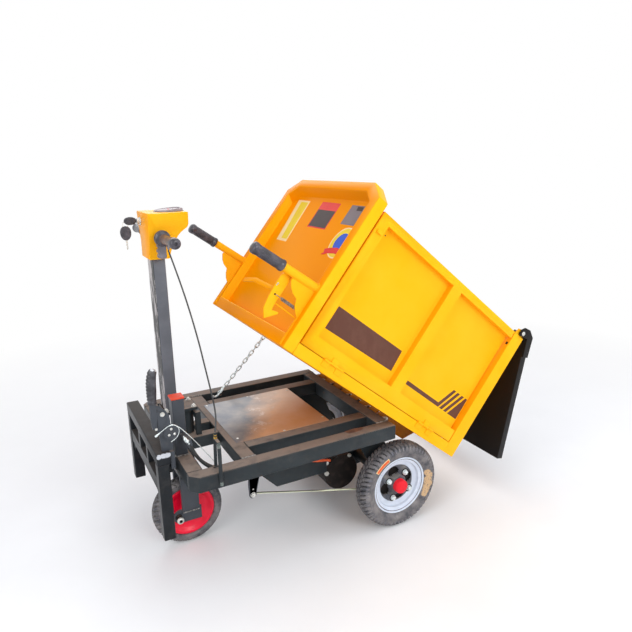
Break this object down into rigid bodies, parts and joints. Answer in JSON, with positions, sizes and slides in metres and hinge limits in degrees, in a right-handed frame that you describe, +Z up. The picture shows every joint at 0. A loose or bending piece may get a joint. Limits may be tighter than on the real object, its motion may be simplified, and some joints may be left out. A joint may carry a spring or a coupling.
{
  "type": "electric dumper tricycle",
  "caption": "Walk-behind electric dumper tricycle: a steered wheel under an upright bar, a welded frame with its battery, and a tipping bed with drop sides and a hung tailgate.",
  "frame": {"origin": "middle of the vehicle's footprint on the floor it stands on", "axes": "+X from the operator's bar towards the tailgate, +Y to the vehicle's left, +Z up"},
  "size_m": [1.4964, 0.707, 1.2862],
  "materials": {
    "chassis_black": "gloss black paint, dusty",
    "worn_steel": "bare sheet steel with rust film",
    "zinc_steel": "zinc plated steel",
    "orange_shell": "orange enamel",
    "gauge_face": "clear over a dark dial",
    "grip_rubber": "moulded grip rubber",
    "lever_black": "black moulding",
    "cable_sheath": "black cable sheath",
    "tyre": "road tyre rubber",
    "rim_red": "red enamel",
    "rim_silver": "silver enamel",
    "bed_yellow": "yellow enamel",
    "tailgate_black": "black enamel"
  },
  "bodies": {
    "chassis": {"side_rail_left": "chassis_black", "side_rail_right": "chassis_black", "front_cross_member": "chassis_black", "rear_cross_member": "chassis_black", "battery_cross_member": "chassis_black", "inner_rails": "chassis_black", "centre_beams": "chassis_black", "steering_head": "chassis_black", "bumper_top_beam": "chassis_black", "bumper_legs": "chassis_black", "bumper_lower_beam": "chassis_black", "latch_post": "chassis_black", "battery_box": "chassis_black", "battery_cover": "worn_steel", "rear_axle": "chassis_black", "axle_brackets": "chassis_black", "motor": "chassis_black", "bed_hinge_rod": "zinc_steel", "parking_brake_bracket": "chassis_black", "parking_brake_lever": "grip_rubber", "relay_lever": "chassis_black", "cable_stop": "zinc_steel", "tipping_chain": "zinc_steel"},
    "steering": {"steering_stem": "chassis_black", "fork_legs": "chassis_black", "front_axle": "zinc_steel", "handle_column": "chassis_black", "control_head": "orange_shell", "gauge": "gauge_face", "handlebar": "chassis_black", "bar_grip_left": "grip_rubber", "throttle_grip": "grip_rubber", "brake_lever": "lever_black", "key_switch": "zinc_steel", "brake_cable": "cable_sheath"},
    "front_wheel": {"front_tyre": "tyre", "front_rim": "rim_red"},
    "rear_wheel_left": {"rear_tyre_left": "tyre", "rear_rim_left": "rim_silver"},
    "rear_wheel_right": {"rear_tyre_right": "tyre", "rear_rim_right": "rim_silver"},
    "bed": {"bed_floor": "bed_yellow", "bed_front_panel": "bed_yellow", "rear_posts": "bed_yellow", "hinge_arms": "bed_yellow", "push_handles": "bed_yellow", "handle_grips": "grip_rubber", "latch_lever": "bed_yellow"},
    "side_gate_left": {"side_gate_left": "bed_yellow"},
    "side_gate_right": {"side_gate_right": "bed_yellow"},
    "tailgate": {"tailgate": "tailgate_black"}
  },
  "joints": [
    {"name": "steering_turn", "type": "hinge", "parent": "chassis", "child": "steering", "pos_m": [-0.57315, 0, 0.45], "axis": [0, 0, 1], "range_deg": [-40, 40], "deforming": ["brake_cable"]},
    {"name": "front_wheel_spin", "type": "hinge", "parent": "steering", "child": "front_wheel", "pos_m": [-0.59965, 0, 0.1276], "axis": [0, 1, 0], "continuous": true},
    {"name": "rear_wheel_left_spin", "type": "hinge", "parent": "chassis", "child": "rear_wheel_left", "pos_m": [0.12785, 0.298, 0.168], "axis": [0, 1, 0], "continuous": true},
    {"name": "rear_wheel_right_spin", "type": "hinge", "parent": "chassis", "child": "rear_wheel_right", "pos_m": [0.12785, -0.298, 0.168], "axis": [0, 1, 0], "continuous": true},
    {"name": "bed_tip", "type": "hinge", "parent": "chassis", "child": "bed", "pos_m": [0.10035, 0, 0.423], "axis": [0, 1, 0], "range_deg": [-38.8, 0], "deforming": ["tipping_chain"]},
    {"name": "side_gate_left_drop", "type": "hinge", "parent": "bed", "child": "side_gate_left", "pos_m": [0.05766, 0.3471, 0.5295], "axis": [-0.7793, 0, 0.6266], "range_deg": [0, 120]},
    {"name": "side_gate_right_drop", "type": "hinge", "parent": "bed", "child": "side_gate_right", "pos_m": [0.05766, -0.3471, 0.5295], "axis": [0.7793, 0, -0.6266], "range_deg": [0, 120]},
    {"name": "tailgate_swing", "type": "hinge", "parent": "bed", "child": "tailgate", "pos_m": [0.69265, 0, 0.6833], "axis": [0, 1, 0], "range_deg": [-75, 26.2]}
  ]
}
